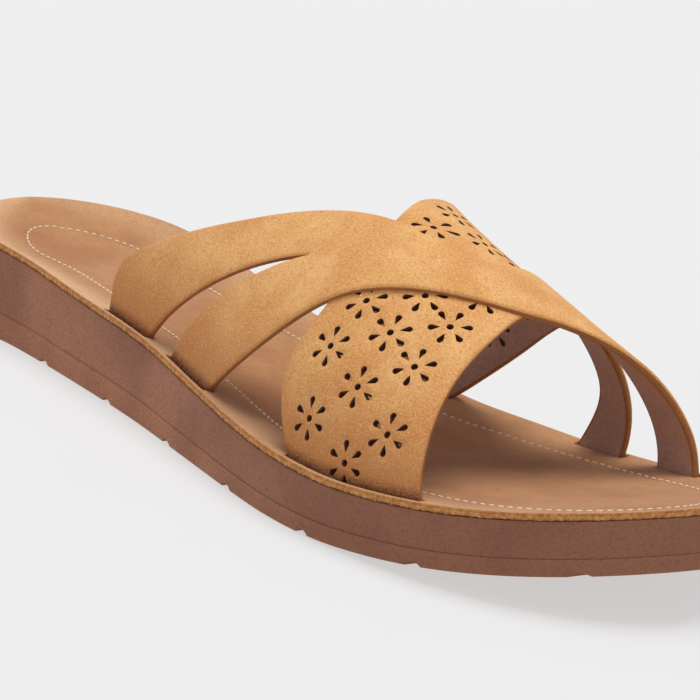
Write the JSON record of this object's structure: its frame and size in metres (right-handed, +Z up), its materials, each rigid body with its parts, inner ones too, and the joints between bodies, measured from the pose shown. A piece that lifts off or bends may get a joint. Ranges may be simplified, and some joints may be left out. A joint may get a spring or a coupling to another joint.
{
  "type": "mule sandal",
  "caption": "Flat slip-on mule sandal with crossing tan straps, daisy cut-outs in the wide strap, a cupped stitched footbed and a brown moulded wedge sole.",
  "frame": {"origin": "on the floor, under the middle of the sandal's box", "axes": "+X towards the toe, +Y towards the inner (big toe) side of the right foot, +Z up"},
  "size_m": [0.256, 0.0918, 0.0668],
  "materials": {
    "outsole": "satin reddish brown moulded rubber",
    "midsole": "satin brown moulded foam rubber with a faint pebble",
    "footbed_board": "matt tan wrapped edge",
    "insole": "matt tan suede-like cover with a cream stitch line",
    "upper": "matt tan nubuck-like strap material"
  },
  "bodies": {
    "root": {"outsole": "outsole", "midsole": "midsole", "footbed_board": "footbed_board", "insole": "insole", "upper": "upper"}
  },
  "joints": []
}
